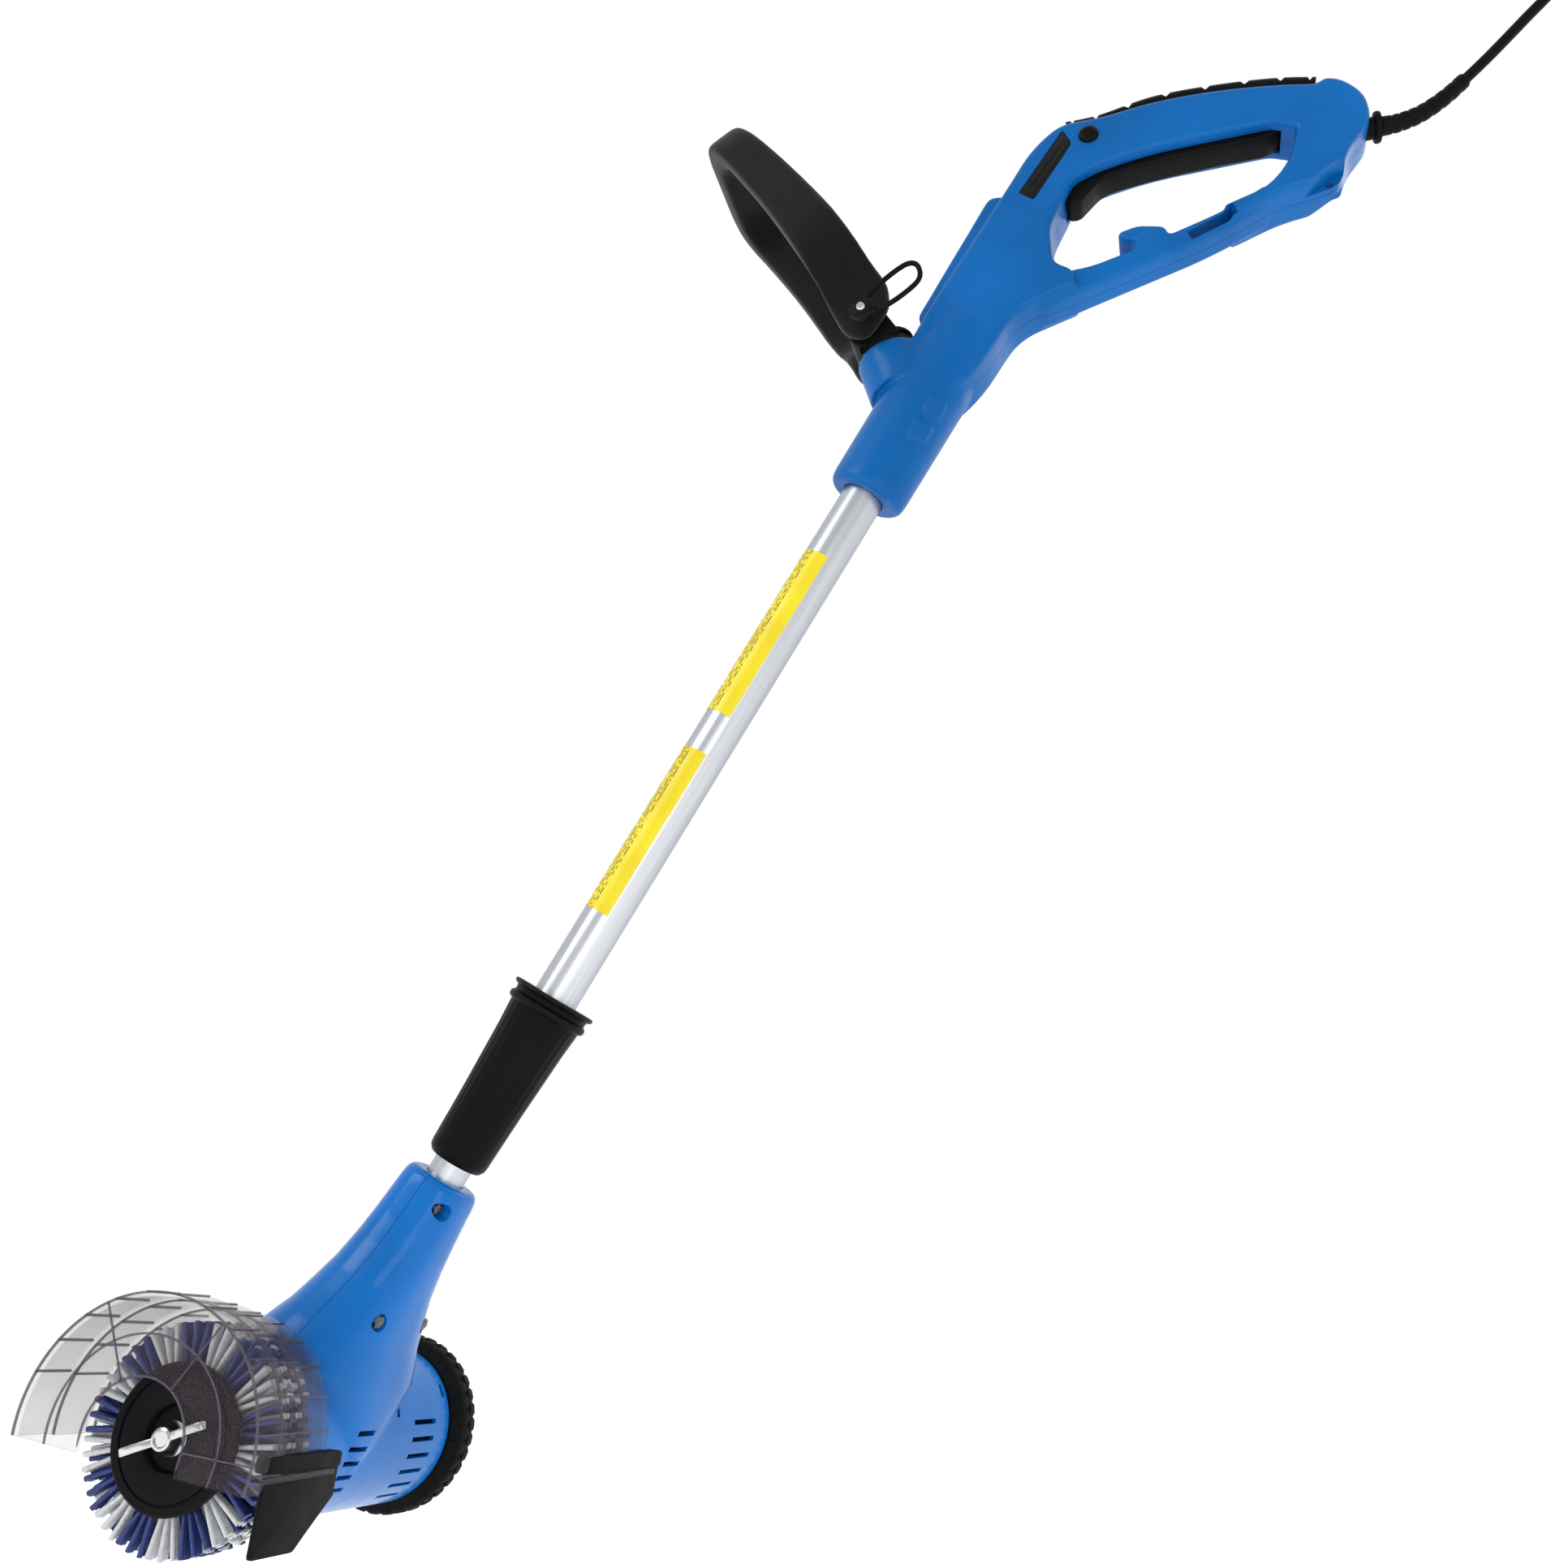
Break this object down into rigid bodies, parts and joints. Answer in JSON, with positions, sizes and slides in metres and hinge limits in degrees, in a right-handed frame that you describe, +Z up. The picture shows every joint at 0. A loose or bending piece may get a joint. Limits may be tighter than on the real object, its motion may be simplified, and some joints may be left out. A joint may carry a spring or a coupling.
{
  "type": "electric weed brush",
  "caption": "Corded weed brush: bristle brush under a clear guard and a support wheel on a telescopic tube, with a loop handle and a tilting front handle.",
  "frame": {"origin": "centre of the rear grip's bar, where the user's hand holds the tool", "axes": "+Z up at the working lean, +X towards the user, +Y towards the wheel side (the brush is at -Y)"},
  "size_m": [0.8697, 0.251, 1.102],
  "materials": {
    "blue_shell": "satin moulded ABS",
    "head_shell": "glossy moulded ABS",
    "black_plastic": "fine-textured nylon",
    "soft_grip": "soft overmould",
    "screw_steel": "zinc-plated",
    "tube": "drawn, clear anodised",
    "label": "yellow vinyl film, blank",
    "guard_clear": "smoky clear polycarbonate",
    "bristle": "nylon tufts, navy and white in turn",
    "hub_plastic": "moulded nylon",
    "tyre_rubber": "ribbed rubber",
    "flap_rubber": "sheet rubber",
    "bright_steel": "bright steel",
    "copper": "copper windings on laminations",
    "gear_nylon": "natural nylon",
    "cord_pvc": "black rubber sheath"
  },
  "bodies": {
    "handle": {"handle_shell_brush_side": "blue_shell", "handle_shell_wheel_side": "blue_shell", "inset_pad_brush_side": "soft_grip", "inset_pad_wheel_side": "soft_grip", "handle_screw_1": "screw_steel", "handle_screw_2": "screw_steel", "handle_screw_3": "screw_steel", "handle_screw_4": "screw_steel", "handle_screw_5": "screw_steel", "top_grip_pad": "soft_grip", "trigger_pin": "screw_steel", "switch_block": "black_plastic", "front_handle_base": "black_plastic", "base_screw": "screw_steel", "tilt_bolt": "bright_steel", "upper_tube": "tube", "label_lower": "label", "label_upper": "label", "collet": "gear_nylon", "cord_gland": "cord_pvc", "cord_boot": "cord_pvc", "cord": "cord_pvc", "plug": "cord_pvc", "plug_pin_1": "bright_steel", "plug_pin_2": "bright_steel"},
    "front_handle": {"front_handle_loop": "black_plastic"},
    "clamp_lever": {"clamp_lever": "black_plastic"},
    "trigger": {"trigger": "black_plastic"},
    "lock_off_button": {"lock_off_button": "black_plastic"},
    "lock_sleeve": {"lock_sleeve": "black_plastic", "slide_seal": "soft_grip"},
    "head": {"slide_tube": "tube", "head_shell_rear": "head_shell", "head_shell_front": "head_shell", "head_screw_1": "screw_steel", "head_screw_2": "screw_steel", "head_screw_3": "screw_steel", "head_screw_4": "screw_steel", "motor_can": "screw_steel", "ring_gear": "gear_nylon", "bearing": "screw_steel", "gear_housing": "black_plastic", "guard": "guard_clear", "flap": "flap_rubber", "wheel_axle": "bright_steel"},
    "brush": {"spindle": "screw_steel", "brush_hub": "hub_plastic", "bristle_ring": "bristle", "wing_screw": "bright_steel"},
    "rotor": {"motor_shaft": "screw_steel", "armature": "copper", "cooling_fan": "gear_nylon"},
    "planet_1": {"planet_gear_1": "gear_nylon"},
    "planet_2": {"planet_gear_2": "gear_nylon"},
    "planet_3": {"planet_gear_3": "gear_nylon"},
    "wheel": {"wheel_tyre": "tyre_rubber", "wheel_disc": "black_plastic"}
  },
  "joints": [
    {"name": "front_handle_tilt", "type": "hinge", "parent": "handle", "child": "front_handle", "pos_m": [-0.19516, 0, -0.13802], "axis": [0, 1, 0], "range_deg": [-15, 15]},
    {"name": "clamp_lever_turn", "type": "hinge", "parent": "handle", "child": "clamp_lever", "pos_m": [-0.19516, 0, -0.13802], "axis": [0, 1, 0], "range_deg": [0, 90]},
    {"name": "trigger_squeeze", "type": "hinge", "parent": "handle", "child": "trigger", "pos_m": [0.05369, 0, -0.00143], "axis": [0, 1, 0], "range_deg": [0, 3], "stiffness_Nm_per_rad": 8, "springref_deg": -2.29},
    {"name": "lock_off_press", "type": "slide", "parent": "handle", "child": "lock_off_button", "axis": [0, 1, 0], "range_m": [0, 0.003], "stiffness_N_per_m": 400, "springref_m": -0.003},
    {"name": "lock_sleeve_twist", "type": "hinge", "parent": "handle", "child": "lock_sleeve", "pos_m": [-0.37387, 0, -0.62466], "axis": [0.4337, 0, 0.9011], "range_deg": [0, 60]},
    {"name": "tube_slide", "type": "slide", "parent": "handle", "child": "head", "axis": [-0.4337, 0, -0.9011], "range_m": [0, 0.15]},
    {"name": "brush_spin", "type": "hinge", "parent": "head", "child": "brush", "pos_m": [-0.46061, 0, -0.80487], "axis": [0, 1, 0], "continuous": true},
    {"name": "rotor_spin", "type": "hinge", "parent": "head", "child": "rotor", "pos_m": [-0.46061, 0, -0.80487], "axis": [0, 1, 0], "continuous": true},
    {"name": "planet_1_spin", "type": "hinge", "parent": "brush", "child": "planet_1", "pos_m": [-0.44844, -0.002, -0.81073], "axis": [0, 1, 0], "continuous": true},
    {"name": "planet_2_spin", "type": "hinge", "parent": "brush", "child": "planet_2", "pos_m": [-0.46162, -0.002, -0.79141], "axis": [0, 1, 0], "continuous": true},
    {"name": "planet_3_spin", "type": "hinge", "parent": "brush", "child": "planet_3", "pos_m": [-0.47176, -0.002, -0.81248], "axis": [0, 1, 0], "continuous": true},
    {"name": "wheel_spin", "type": "hinge", "parent": "head", "child": "wheel", "pos_m": [-0.46061, 0, -0.80487], "axis": [0, 1, 0], "continuous": true}
  ],
  "couplings": [
    {"joint": "rotor_spin", "follows": "brush_spin", "ratio": 4.5},
    {"joint": "planet_1_spin", "follows": "brush_spin", "ratio": -2.8},
    {"joint": "planet_2_spin", "follows": "brush_spin", "ratio": -2.8},
    {"joint": "planet_3_spin", "follows": "brush_spin", "ratio": -2.8}
  ]
}
